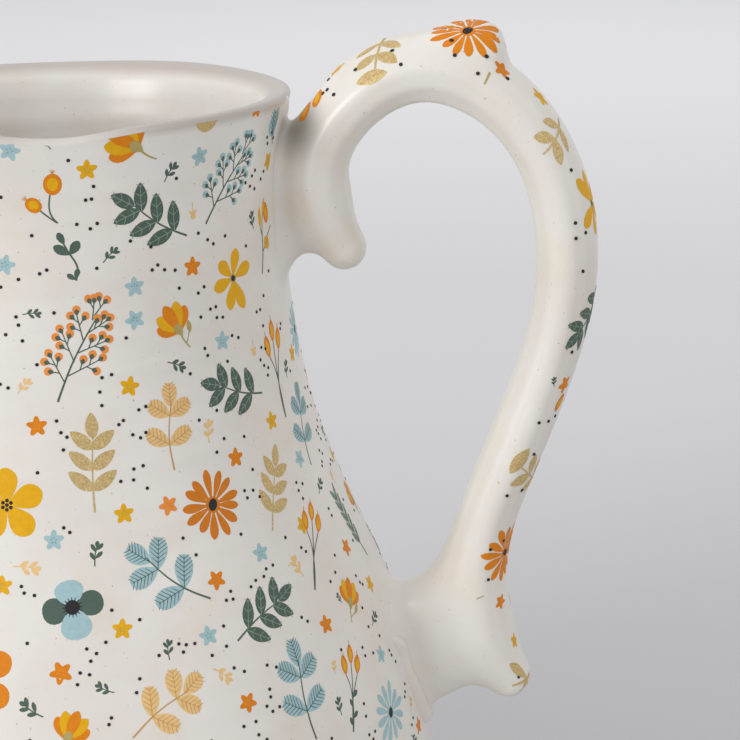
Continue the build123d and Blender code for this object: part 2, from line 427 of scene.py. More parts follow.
def surface_net(field, low, step):
    """Closed quad mesh of a field's zero surface, on a regular grid."""
    inside = field < 0
    cells = tuple(n - 1 for n in field.shape)
    corners = [(i, j, k) for i in (0, 1) for j in (0, 1) for k in (0, 1)]

    def corner(values, c):
        return values[c[0]:c[0] + cells[0], c[1]:c[1] + cells[1], c[2]:c[2] + cells[2]]

    count = sum(corner(inside, c).astype(np.int8) for c in corners)
    active = (count > 0) & (count < 8)
    where = np.argwhere(active)
    total = np.zeros((len(where), 3))
    crossings = np.zeros(len(where))
    for first in corners:
        for axis in range(3):
            if first[axis]:
                continue
            second = tuple(1 if a == axis else first[a] for a in range(3))
            here = where + first
            there = where + second
            value_a = field[tuple(here.T)]
            value_b = field[tuple(there.T)]
            cut = (value_a < 0) != (value_b < 0)
            share = np.where(cut, value_a / np.where(cut, value_a - value_b, 1), 0)
            point = here + share[:, None] * (np.array(second) - first)
            total += np.where(cut[:, None], point, 0)
            crossings += cut
    points = low + step * total / crossings[:, None]
    number = np.full(cells, -1)
    number[tuple(where.T)] = np.arange(len(where))
    faces = []
    for axis in range(3):
        one, two = (axis + 1) % 3, (axis + 2) % 3
        base = [slice(1, cells[0]), slice(1, cells[1]), slice(1, cells[2])]
        base[axis] = slice(0, cells[axis])
        shifted = list(base)
        shifted[axis] = slice(1, cells[axis] + 1)
        here = inside[tuple(base)]
        there = inside[tuple(shifted)]
        for turned in (False, True):
            cut = (here & ~there) if not turned else (~here & there)
            spots = np.argwhere(cut)
            spots[:, one] += 1
            spots[:, two] += 1
            quad = []
            for step_one, step_two in ((0, 0), (1, 0), (1, 1), (0, 1)):
                spot = spots.copy()
                spot[:, one] -= step_one
                spot[:, two] -= step_two
                quad.append(number[tuple(spot.T)])
            quad = np.stack(quad, -1)
            faces.append(quad if not turned else quad[:, ::-1])
    return points, np.concatenate(faces)


def field_slope(points, distance, step):
    """Slope of a field at points, from small steps along the axes."""
    x, y, z = points.T
    return np.stack([distance(x + step, y, z) - distance(x - step, y, z),
                     distance(x, y + step, z) - distance(x, y - step, z),
                     distance(x, y, z + step) - distance(x, y, z - step)], -1) / (2 * step)


def settle(points, distance, rounds=2):
    """Moves points on to a field's zero surface along its slope."""
    for _ in range(rounds):
        value = distance(*points.T)
        slope = field_slope(points, distance, 0.05)
        size = np.maximum((slope**2).sum(-1), 0.25)
        move = -value[:, None] * slope / size[:, None]
        points = points + np.clip(move, -0.3, 0.3)
    return points


def make_handle(material):
    """The moulded scroll handle, with the fillets where it is luted to the wall."""
    step, layers = ((0.5, 34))
    half_depth = layers * step
    low = np.array([49.0, -half_depth, handle_low[2] / MM - 6])
    high = np.array([handle_high[0] / MM + 2, half_depth, handle_high[2] / MM + 2])
    counts = np.ceil((high - low) / step).astype(int) + 1
    xs, ys, zs = (low[i] + step * np.arange(counts[i]) for i in range(3))
    x_grid, z_grid = np.meshgrid(xs, zs, indexing="ij")
    beside = bar_frame(x_grid, z_grid)
    half = [luted_distance(x_grid, np.full(x_grid.shape, y), z_grid, beside) for y in ys if y < 1e-6]
    mirrored = half[:len(ys) - len(half)][::-1]
    points, faces = surface_net(np.stack(half + mirrored, axis=1), low, step)
    points = settle(points, luted_distance)
    make_piece("scroll_handle", points, faces.tolist(), [material], "handle")


def make_slip_bead(name, node, centre, margin, thickness, half_width, top, material):
    """The raised bead of slip round a handle root; it sinks into the wall where the sine passes top."""
    count, around = 220, 20
    angles = np.arange(count) * 2 * np.pi / count
    near, far = np.full(count, 2.0), np.full(count, 34.0)

    def on_wall(reach):
        y = reach * np.cos(angles)
        z = centre + reach * np.sin(angles)
        radius = wall_radius(np.clip(z, FOOT_HEIGHT, LIP_START))
        return np.sqrt(np.maximum(radius**2 - y**2, 1)), y, z

    for _ in range(26):
        reach = (near + far) / 2
        outside = handle_distance(*on_wall(reach)) > margin
        far = np.where(outside, reach, far)
        near = np.where(outside, near, reach)
    for _ in range(6):
        reach = (np.roll(reach, 1) + 2 * reach + np.roll(reach, -1)) / 4
    spine = np.stack(on_wall(reach), -1)
    out = outside_normal(np.arctan2(spine[:, 1], spine[:, 0]), spine[:, 2])
    along = np.roll(spine, -1, 0) - np.roll(spine, 1, 0)
    along /= np.linalg.norm(along, axis=1, keepdims=True)
    side = np.cross(along, out)
    swell = 1 + 0.16 * np.sin(3 * angles + 1) + 0.1 * np.sin(7 * angles + 2)
    shown = 1 - ease(np.sin(angles), top - 0.5, top)
    points = []
    for turn in np.arange(around) * 2 * np.pi / around:
        lift = thickness * np.sin(turn) * (0.95 + 0.1 * np.sin(5 * angles))
        spread = half_width * swell * np.cos(turn) * (1 - 0.25 * np.sin(turn))
        rise = lift * shown - 0.12 - 0.5 * (1 - shown)
        points.append(spine + out * rise[:, None] + side * spread[:, None])
    faces = []
    for i in range(count):
        for j in range(around):
            here, beyond, after = i * around, (i + 1) % count * around, (j + 1) % around
            faces.append((here + j, here + after, beyond + after, beyond + j))
    make_piece(name, np.stack(points, 1).reshape(-1, 3), faces, [material], node)


# ---- materials -----------------------------------------------------------------------
# Painted shade: the handle's glaze is darkened round this spot, in the narrow crevice where the lip meets
# the handle's upper root, partly for shade and partly for glaze pooled there.
NOTCH = (58.2 * MM, -4.0 * MM, (RIM_HEIGHT - 8.0) * MM)    # where the lip meets the handle's upper root
NOTCH_REACH = 9.5 * MM
NOTCH_SHADE_AND_POOL_TONE = (112, 103, 86)
# Darker crest tone of the lip: partly glaze running thin there, partly painted shade on the crest.
LIP_THIN_AND_SHADED_TONE = (186, 177, 169)
SPECK_TONE = (196, 178, 150)
BLUSH_TONE = (251, 245, 237)
COAT = 0.3
COAT_SMOOTHNESS = 0.55      # the coat's roughness as a share of the glaze's
INK_VARIATION = 0.06


def srgb(red, green, blue):
    """Linear colour from 0-255 display values."""
    linear = []
    for value in (red, green, blue):
        share = value / 255
        linear.append(share / 12.92 if share < 0.04045 else ((share + 0.055) / 1.055) ** 2.4)
    return (*linear, 1.0)


def new_material(name):
    """An empty node material with its node tree and its principled shader."""
    material = bpy.data.materials.new(name)
    material.use_nodes = True
    return material, material.node_tree, material.node_tree.nodes["Principled BSDF"]


def feed(tree, target, inputs):
    """Links sockets to a node's inputs, or sets them to values."""
    for name, value in inputs.items():
        if isinstance(value, bpy.types.NodeSocket):
            tree.links.new(value, target.inputs[name])
        else:
            target.inputs[name].default_value = value


def add_node(tree, kind, output, inputs, **settings):
    """A new shader node with its settings and inputs; gives one of its outputs."""
    made = tree.nodes.new("ShaderNode" + kind)
    for name, value in settings.items():
        setattr(made, name, value)
    feed(tree, made, inputs)
    return made.outputs[output]


def add_place(tree):
    """The place of a point in object space, in metres."""
    return add_node(tree, "TexCoord", "Object", {})


def add_noise(tree, scale, detail=3.0, roughness=0.55):
    """A noise texture in object space."""
    return add_node(tree, "TexNoise", "Fac", {"Vector": add_place(tree), "Scale": scale, "Detail": detail,
                                              "Roughness": roughness})


def add_ramp(tree, value, stops):
    """A colour ramp over a value; stops are (position, colour)."""
    colours = add_node(tree, "ValToRGB", "Color", {"Fac": value})
    elements = colours.node.color_ramp.elements
    while len(elements) < len(stops):
        elements.new(0.5)
    for element, (position, colour) in zip(elements, stops):
        element.position = position
        element.color = colour
    return colours


def add_mix(tree, share, first, second, blend="MIX"):
    """Mixes two colours; share, first and second may be sockets or values."""
    return add_node(tree, "Mix", 2, {0: share, 6: first, 7: second}, data_type="RGBA", blend_type=blend)


def add_range(tree, value, low, high):
    """Maps a 0-1 value to a range."""
    return add_node(tree, "MapRange", "Result", {"Value": value, "To Min": low, "To Max": high})


def add_height(tree, low, high, axis="Z"):
    """A value that runs from 0 to 1 between two places along an object axis, in metres."""
    place = add_node(tree, "SeparateXYZ", axis, {"Vector": add_place(tree)})
    return add_node(tree, "MapRange", "Result", {"Value": place, "From Min": low, "From Max": high})


def add_bump(tree, height, strength, distance):
    """Fine surface relief as a normal; distance in metres."""
    return add_node(tree, "Bump", "Normal", {"Height": height, "Strength": strength, "Distance": distance})


def add_nearness(tree, spot, reach):
    """A value that falls smoothly from 1 at a spot to 0 at a distance from it; metres."""
    gap = add_node(tree, "VectorMath", "Value", {0: add_place(tree), 1: spot}, operation="DISTANCE")
    return add_node(tree, "MapRange", "Result", {"Value": gap, "From Max": reach, "To Min": 1, "To Max": 0},
                    interpolation_type="SMOOTHSTEP")


def glaze(name, roughness, warm, pale, with_lip=False, shade_and_pool_spot=None):
    """Off-white glaze over cream clay: soft mottling and a few specks; on the lip a darker crest tone,
    partly glaze running thin and partly painted shade; round a given spot a painted crevice shade with a
    little pooled glaze.
    """
    material, tree, shader = new_material(name)
    tone = add_ramp(tree, add_noise(tree, 26, 2), [(0.35, warm), (0.65, pale)])
    blush = add_ramp(tree, add_noise(tree, 70, 4), [(0.45, (1, 1, 1, 1)), (0.75, srgb(*BLUSH_TONE))])
    tone = add_mix(tree, 0.8, tone, blush, "MULTIPLY")
    specks = add_ramp(tree, add_noise(tree, 1500, 1, 0.3), [(0.77, (0, 0, 0, 1)), (0.8, (1, 1, 1, 1))])
    tone = add_mix(tree, specks, tone, srgb(*SPECK_TONE))
    # Darker lip crest by height: partly thin glaze, partly painted shade.
    if with_lip:
        crest = add_height(tree, (RIM_HEIGHT - 3.4) * MM, (RIM_HEIGHT - 1.2) * MM)
        tone = add_mix(tree, crest, tone, srgb(*LIP_THIN_AND_SHADED_TONE))
    # Painted shade of the crevice, with a little pooled glaze: a dark tone mixed in close to the spot.
    if shade_and_pool_spot:
        near = add_nearness(tree, shade_and_pool_spot, NOTCH_REACH)
        tone = add_mix(tree, add_range(tree, near, 0, 0.75), tone, srgb(*NOTCH_SHADE_AND_POOL_TONE))
    uneven = add_range(tree, add_noise(tree, 90, 3), roughness - 0.06, roughness + 0.06)
    peel = add_bump(tree, add_noise(tree, 420, 3), 0.12, 0.00025)
    feed(tree, shader, {"Base Color": tone, "Roughness": uneven, "Coat Weight": COAT,
                        "Coat Roughness": roughness * COAT_SMOOTHNESS, "IOR": 1.5, "Normal": peel})
    return material


def bare_clay():
    """Unglazed stoneware of the foot ring: matt, sandy and slightly stained."""
    material, tree, shader = new_material("bare_clay")
    stains = [(0.3, srgb(196, 176, 148)), (0.55, srgb(214, 198, 172)), (0.8, srgb(226, 214, 192))]
    tone = add_ramp(tree, add_noise(tree, 160, 6, 0.7), stains)
    grains = add_ramp(tree, add_noise(tree, 1500, 2), [(0.66, (0, 0, 0, 1)), (0.72, (1, 1, 1, 1))])
    feed(tree, shader, {"Base Color": add_mix(tree, grains, tone, srgb(150, 128, 100)), "Roughness": 0.9,
                        "Normal": add_bump(tree, add_noise(tree, 900, 4), 0.5, 0.0004)})
    return material


def fired_ink(name, colour):
    """A fired decal colour with the uneven tone of a printed transfer."""
    material, tree, shader = new_material(name)
    darker = tuple(part * (1 - INK_VARIATION * 1.4) for part in colour[:3]) + (1,)
    paler = tuple(min(part * (1 + INK_VARIATION), 1) for part in colour[:3]) + (1,)
    tone = add_ramp(tree, add_noise(tree, 900, 3, 0.7), [(0.3, darker), (0.52, colour), (0.75, paler)])
    feed(tree, shader, {"Base Color": tone, "Roughness": 0.5, "Specular IOR Level": 0.3})
    return material


def gold_ink():
    """Brushed-looking gold lustre with fine glitter."""
    material, tree, shader = new_material("gold")
    grains = add_noise(tree, 2600, 2, 0.8)
    tones = [(0.3, srgb(172, 144, 88)), (0.5, srgb(200, 173, 116)), (0.7, srgb(222, 199, 148))]
    feed(tree, shader, {"Base Color": add_ramp(tree, grains, tones), "Metallic": 0.25,
                        "Roughness": add_range(tree, grains, 0.3, 0.6)})
    return material


INKS = {
    "orange": (218, 127, 0), "orange_deep": (208, 119, 14), "orange_pale": (232, 142, 62),
    "yellow": (224, 168, 0), "peach": (230, 192, 132), "peach_line": (196, 150, 84), "olive": (176, 158, 96),
    "sky": (160, 191, 196), "leaf": (78, 98, 86), "leaf_pale": (132, 152, 136), "ink_black": (38, 36, 38),
}


# ---- decal shapes, drawn flat in mm ----------------------------------------------------
# A shape is (colour, layer, points, faces).  A motif is a list of shapes that grows
# along +x from its root, or lies round its centre.
def polar(reach, angle, centre=(0, 0)):
    """The point at a distance and an angle, in radians, from a centre."""
    return centre[0] + reach * math.cos(angle), centre[1] + reach * math.sin(angle)


def axes(root, tip):
    """Root, length, direction and left side of the line between two points."""
    root = np.array(root, float)
    axis = np.array(tip, float) - root
    length = np.hypot(*axis)
    axis = axis / length
    return root, length, axis, np.array([-axis[1], axis[0]])


def blade(colour, root, tip, width, peak=0.5, fullness=0.8, layer=0):
    """A leaf, petal or bud between two points, widest at the given share of its length."""
    root, length, axis, side = axes(root, tip)
    stations = max(6, int(length / 0.7) + 3)
    along = (1 - np.cos(np.linspace(0, np.pi, stations))) / 2
    power = math.log(0.5) / math.log(peak)
    half = np.maximum(width / 2 * np.maximum(np.sin(np.pi * along**power), 0) ** fullness, 0.02)
    spine = root + np.outer(along * length, axis)
    offsets = (-1, -0.5, 0, 0.5, 1) if width > 2.4 else (-1, 0, 1)
    across = len(offsets)
    points = np.stack([spine + np.outer(half * k, side) for k in offsets], 1).reshape(-1, 2)
    faces = [(i * across + j, (i + 1) * across + j, (i + 1) * across + j + 1, i * across + j + 1)
             for i in range(stations - 1) for j in range(across - 1)]
    return colour, layer, points, faces


def ribbon(colour, points, width, end_width=None, layer=1):
    """A drawn line through points, such as a stem, narrowing to its end."""
    points = np.array(points, float)
    lengths = np.concatenate([[0], np.cumsum(np.hypot(*np.diff(points, axis=0).T))])
    count = max(2, int(lengths[-1] / 0.9) + 2)
    at = np.linspace(0, lengths[-1], count)
    if len(points) > 2:
        spine = smooth_curve(lengths, points)(at)
    else:
        spine = points[0] + np.outer(at / lengths[-1], points[1] - points[0])
    along = np.gradient(spine, axis=0)
    along /= np.hypot(*along.T)[:, None]
    side = np.stack([-along[:, 1], along[:, 0]], -1)
    half = np.linspace(width, end_width or width, count)[:, None] / 2
    outline = np.stack([spine - side * half, spine + side * half], 1).reshape(-1, 2)
    faces = [(2 * i, 2 * i + 2, 2 * i + 3, 2 * i + 1) for i in range(count - 1)]
    return colour, layer, outline, faces


def lobed(colour, radius, angles, layer, turn=0.0, centre=(0, 0)):
    """A filled round shape with the given radii at its angles, turned and put at a centre."""
    flat = np.stack([radius[0] * np.cos(angles), radius[1] * np.sin(angles)], -1)
    cos_turn, sin_turn = math.cos(turn), math.sin(turn)
    flat = flat @ np.array([[cos_turn, sin_turn], [-sin_turn, cos_turn]])
    count = len(angles)
    faces = [(0, 1 + i, 1 + (i + 1) % count) for i in range(count)]
    return colour, layer, np.concatenate([[[0, 0]], flat]) + np.array(centre), faces


def disc(colour, centre, radius, stretch=1.0, turn=0.0, layer=2, count=14):
    """A filled round or oval spot."""
    angles = np.arange(count) * 2 * np.pi / count
    return lobed(colour, (radius * stretch, radius), angles, layer, turn, centre)


def turned(shapes, angle, size):
    """A motif turned by an angle in degrees, and scaled."""
    angle = math.radians(angle)
    matrix = np.array([[math.cos(angle), math.sin(angle)], [-math.sin(angle), math.cos(angle)]])
    return [(colour, layer, points * size @ matrix, faces) for colour, layer, points, faces in shapes]


def star(colour):
    """Small five-lobed star flower."""
    angles = np.arange(40) * 2 * np.pi / 40
    radius = 2.1 * (0.76 + 0.24 * np.cos(5 * angles)) ** 0.9
    mark = {"yellow": "olive", "orange": "orange_pale", "orange_pale": "orange", "sky": "leaf_pale"}[colour]
    shapes = [lobed(colour, (radius, radius), angles, 0)]
    for turn in np.arange(5) * 2 * np.pi / 5:
        shapes.append(blade(mark, polar(0.25, turn), polar(0.8, turn), 0.22, layer=1))
    return shapes


def daisy(colour, petals, radius, width, centre_size, seed):
    """Long-petalled flower with a dark oval centre."""
    draw = random.Random(seed)
    shapes = []
    for index in range(petals):
        angle = 2 * math.pi * (index + draw.uniform(-0.12, 0.12)) / petals
        tip = polar(radius * draw.uniform(0.84, 1.0), angle)
        shapes.append(blade(colour, polar(0.4, angle), tip, width * draw.uniform(0.9, 1.1), 0.72, 0.56))
    return shapes + [disc(colour, (0, 0), centre_size * 1.7, layer=1, count=18),
                     disc("ink_black", (0, 0), centre_size, 1.3, 0.9, layer=3, count=18)]


def six_petal():
    """Open yellow flower with six broad petals and a dotted eye."""
    petals = ((13, 6.4), (70, 6.2), (130, 5.6), (188, 6.0), (250, 6.6), (288, 7.4))
    shapes = [disc("olive", (0, 0), 0.95), disc("ink_black", (0, 0), 0.62, layer=3)]
    for turn, reach in petals:
        shapes.append(blade("yellow", (0, 0), polar(reach, math.radians(turn)), 2.9, 0.68, 0.6))
    return shapes


def broad_flower(colour, radius):
    """Big five-petalled flower with a ring of dark dots."""
    shapes = [disc(colour, (0, 0), 1.5, layer=1), disc("ink_black", (0, 0), 0.4, layer=3, count=10)]
    for index in range(5):
        tip = polar(radius, math.radians(72 * index + 12))
        shapes.append(blade(colour, (0, 0), tip, radius * 0.66, 0.66, 0.55))
    for index in range(6):
        shapes.append(disc("ink_black", polar(0.9, math.radians(60 * index + 20)), 0.38, layer=3, count=10))
    return shapes


def poppy():
    """Two blue and two dark green broad petals round a dark, toothed eye."""
    petals = (("leaf", 6.2, 5.0), ("sky", 5.4, 5.8), ("leaf", 5.9, 5.2), ("sky", 6.4, 6.0))
    shapes = [disc("ink_black", (0, 0), 1.45, layer=3, count=18)]
    for index, (colour, reach, wide) in enumerate(petals):
        angle = math.radians(90 * index + 8)
        root, tip = polar(0.3, angle), polar(reach, angle)
        shapes.append(blade(colour, root, tip, wide, 0.6, 0.42, layer=index % 2))
    for angle in np.arange(16) * 2 * np.pi / 16:
        shapes.append(ribbon("ink_black", [polar(0.8, angle), polar(2.0, angle)], 0.3, 0.12, layer=2))
    return shapes


def half_flower(side_bud=True):
    """Half-open flower seen from the side: fanned petals, calyx, stem and a side bud."""
    calyx = 3.99
    fan = ((-50, 4.75, "orange"), (50, 4.75, "orange"), (-26, 5.51, "yellow"), (27, 5.32, "yellow"),
           (0, 5.7, "orange"))
    shapes = [ribbon("olive", [(0, 0), (2.09, 0.25), (calyx, 0)], 0.25, 0.35)]
    for index, (turn, reach, colour) in enumerate(fan):
        tip = polar(reach, math.radians(turn), (calyx, 0))
        shapes.append(blade(colour, (calyx - 0.4, 0), tip, 2.5, 0.64, 0.6, layer=index))
    shapes.append(blade("olive", (calyx - 1.2, 0), (calyx + 1.5, 0), 2.0, 0.62, 0.7, layer=6))
    if side_bud:
        shapes.append(ribbon("olive", [(1.2, 0), (2.0, -1.0), (2.6, -1.7)], 0.2))
        shapes.append(blade("olive", (2.2, -1.6), (4.4, -2.6), 1.1, layer=2))
    return shapes


def vein_marks(colour, root, tip, width, count):
    """Midrib and slanting side veins of a leaf."""
    root, length, axis, side = axes(root, tip)
    shapes = [ribbon(colour, [root, root + axis * length * 0.94], 0.18, 0.1, layer=2)]
    for index in range(count):
        share = 0.2 + 0.66 * index / (count - 1)
        spread = width / 2 * 0.92 * math.sin(math.pi * share) ** 0.6
        start = root + axis * length * share
        for sign in (-1, 1):
            end = start + axis * spread * 0.75 + side * sign * spread
            shapes.append(ribbon(colour, [start, end], 0.17, 0.1, layer=2))
    return shapes


def branch(leaf_colour, stem_colour, length, pairs, leaf_size, lean, peak, fullness, veins=0,
           vein_colour=None, bow=0.8, stagger=0.0, first=0.17):
    """A stem with paired leaves and one leaf at its tip; leaf_size is length and width."""
    leaf_length, leaf_width = leaf_size
    top = 0.74
    stem = [(length * 0.8 * step, bow * math.sin(math.pi * step)) for step in np.linspace(0, 1, 5)]
    shapes = [ribbon(stem_colour, stem, 0.42, 0.24)]
    leaves = [((length * top, bow * 0.3), 4, leaf_length * 0.9)]
    for index in range(pairs):
        share = first + (0.86 * top - first) * index / (pairs - 1)
        for sign, at in ((-1, share), (1, share + stagger / pairs)):
            root = (length * at, bow * math.sin(math.pi * at / 0.8))
            leaves.append((root, sign * lean, leaf_length * (1.04 - 0.1 * index / pairs)))
    for root, turn, reach in leaves:
        tip = polar(reach, math.radians(turn), root)
        shapes.append(blade(leaf_colour, root, tip, leaf_width, peak, fullness))
        if veins:
            shapes += vein_marks(vein_colour, root, tip, leaf_width, veins)
    return shapes


def green_branch():
    return branch("leaf", "leaf", 18.5, 3, (6.0, 2.9), 54, 0.46, 0.75, 3, "leaf_pale", stagger=0.08)


def gold_branch():
    return branch("gold", "gold", 20.0, 3, (6.0, 2.8), 52, 0.45, 0.7, bow=0.3, first=0.22)


def gold_sprig(pairs, crossed=False):
    """Gold sprig of paired pointed leaves; its stem ends bare or in a leaf laid across it."""
    end = 3.1 + 3.8 * pairs
    shapes = [ribbon("gold", [(0, 0), (end / 2, 0.3), (end, 0)], 0.5, 0.35)]
    for index in range(pairs):
        start = 2.8 + 3.8 * index
        for lean, reach in ((-56, 4.6), (54, 5.2)):
            tip = polar(reach, math.radians(lean), (start, 0))
            shapes.append(blade("gold", (start, 0.1), tip, 2.1 + 0.4 * index, 0.5, 0.75))
    if crossed:
        shapes.append(blade("gold", (end + 0.7, 2.3), (end + 1.3, -4.0), 2.8, 0.5, 0.75))
    return shapes


def round_branch(colour, line, veins):
    return branch(colour, line, 20.5, 2, (6.6, 4.3), 60, 0.6, 0.5, veins, line, bow=1.0, first=0.3)


def berry_branch(colour):
    """Twiggy branch with dark cups and small round berries."""
    draw = random.Random(5)
    shapes = [ribbon("leaf", [(0, 0), (7, 0.5), (14, 0.2), (19, -0.4)], 0.42, 0.25)]
    twigs = ((4.0, 52, 5.5), (5.5, -40, 6.5), (8.5, 46, 6.0), (10.5, -44, 5.5), (13.0, 38, 5.2),
             (14.5, -34, 4.6), (17.5, 18, 3.2), (18.5, -14, 2.8))
    for start, lean, reach in twigs:
        lean = math.radians(lean)
        root = (start, 0.3)
        shapes.append(ribbon("leaf", [root, polar(reach, lean, root)], 0.26, 0.2))
        for share, turn in ((1.0, 0.0), (0.72, 0.7), (0.62, -0.75), (0.4, 0.8)):
            if reach < 4 and share < 0.7:
                continue
            base = polar(reach * share, lean, root)
            angle = lean + turn + draw.uniform(-0.15, 0.15)
            cup = polar(0.5 if share == 1.0 else 1.5, angle, base)
            berry = polar(0.75, angle, cup)
            shapes += [ribbon("leaf", [base, cup], 0.22), disc(colour, berry, 0.84, count=12),
                       blade("leaf", polar(-0.5, angle, cup), polar(0.1, angle, berry), 1.0, 0.6, layer=3)]
    return shapes


def bud_stems(leafy=False):
    """Three slender buds on dark stems that meet below."""
    shapes = []
    for reach, spread in ((19.0, 3.6), (22.0, 0.6), (19.8, -2.4)):
        top = (reach - 5.2, spread * 0.8)
        tip = (reach - 0.2, spread * 1.1)
        core = (top[0] + 0.7, top[1] + 0.04 * spread)
        shapes += [ribbon("leaf", [(0, 0), (7.5, 0.4), (11.5, 0.2 + spread * 0.35), top], 0.42, 0.26),
                   blade("orange", top, tip, 2.6, 0.52, 0.7, layer=2),
                   blade("yellow", core, (tip[0] - 1.0, tip[1]), 1.5, 0.5, 0.7, layer=3),
                   ribbon("olive", [tip, (tip[0] + 0.9, tip[1] + 0.1)], 0.2, 0.1, layer=3)]
    if leafy:
        for along, sign in ((1.5, 1), (3.4, -1), (6.0, 1), (8.6, -1)):
            shapes.append(blade("leaf", (along, 0.1), (along + 2.0, sign * 1.5), 1.3, 0.6, 0.6))
    return shapes


def rosehips():
    """Two round hips with little crowns on bent stems."""
    shapes = []
    for centre, size, root in (((7.6, -0.8), 1.75, (1.0, 0.6)), ((4.4, 3.6), 1.4, (0.4, 0.4))):
        angle = math.atan2(centre[1] - root[1], centre[0] - root[0])
        shapes += [ribbon("leaf", [(0, 0), root, centre], 0.32, 0.26),
                   disc("orange", centre, size, 1.2, angle, count=20),
                   disc("yellow", centre, size * 0.62, 1.2, angle, layer=3, count=16)]
        crown = polar(size * 1.15, angle, centre)
        for spread in (-0.5, 0, 0.5):
            tip = polar(0.9, angle + spread, crown)
            shapes.append(ribbon("peach_line", [crown, tip], 0.25, 0.1, layer=3))
    return shapes


def leaf_sprig():
    """Small branch with rounded leaves and a curled stem."""
    leaves = (((5.2, 0), (7.6, 2.6), 1.9), ((5.2, 0), (7.4, -2.4), 2.0), ((7.4, 0.5), (10.0, 1.2), 1.5),
              ((0.2, 0), (1.6, 1.4), 1.1), ((0.4, 0), (2.2, -1.0), 1.2))
    return [ribbon("leaf", [(0, 0), (2.4, -0.9), (5.0, -0.2), (7.6, 0.6), (9.8, 1.0)], 0.4, 0.3)] + [
        blade("leaf", root, tip, wide, 0.6, 0.6) for root, tip, wide in leaves]


def sprig(colour="leaf", length=4.6):
    """Tiny sprig with five little leaves."""
    shapes = [ribbon(colour, [(0, 0), (length * 0.5, 0.15), (length * 0.8, 0)], 0.24, 0.2),
              blade(colour, (length * 0.72, 0), (length, 0), length * 0.18, 0.6, 0.6)]
    for root, side in ((0.22, 1), (0.3, -1), (0.55, 1), (0.62, -1)):
        tip = (length * (root + 0.3), side * length * 0.24)
        shapes.append(blade(colour, (length * root, 0.05), tip, length * 0.17, 0.6, 0.6))
    return shapes


def sprout():
    """A little cup on a stalk."""
    shapes = [blade("peach", (0.8, 0), (1.9, side * 0.95), 0.6, layer=1) for side in (-1, 1)]
    return shapes + [ribbon("peach", [(0.6, 0), (3.6, 0)], 0.26, 0.2),
                     disc("peach", (0.6, 0), 0.62, layer=1, count=12)]


def bud_spray():
    """Bent stem with three yellow buds."""
    return [ribbon("leaf", [(0, 0), (5, -0.3), (9, 0.3), (12.5, 0.5)], 0.36, 0.24),
            ribbon("leaf", [(8.0, 0.2), (10.0, 1.4)], 0.24),
            blade("yellow", (9.6, 1.2), (14.0, 2.4), 1.3, 0.5, 0.7, layer=2),
            blade("yellow", (12.2, 0.4), (16.0, 0.2), 1.1, 0.5, 0.7, layer=2),
            ribbon("leaf", [(4.6, -0.3), (6.0, -1.6)], 0.24),
            disc("yellow", (6.6, -2.2), 1.3, 1.15, 0.8), disc("olive", (6.6, -2.2), 0.5, layer=3)]


def feather():
    """Frond of slim leaves pressed along a stem."""
    shapes = [ribbon("leaf", [(0, 0), (8, 0.4), (16, 0)], 0.36, 0.2)]
    for index in range(5):
        root = (3.6 + 2.7 * index, 0.2)
        for side in (-1, 1):
            tip = (root[0] + 3.6, side * 1.9)
            shapes.append(blade("leaf_pale", root, tip, 1.5, 0.5, 0.7))
            shapes += vein_marks("leaf", root, tip, 1.3, 3)
    return shapes


def sky_leaf():
    """A single broad leaf with dark veins."""
    leaf = ((0, 0), (6.8, 0))
    return [blade("sky", *leaf, 7.0, 0.45, 0.6)] + vein_marks("leaf", *leaf, 6.6, 5)


def bud():
    """A single closed bud."""
    return [blade("orange", (0, 0), (5.2, 0), 3.0, 0.46, 0.6),
            blade("yellow", (0.9, 0), (3.9, 0), 1.6, layer=1)]


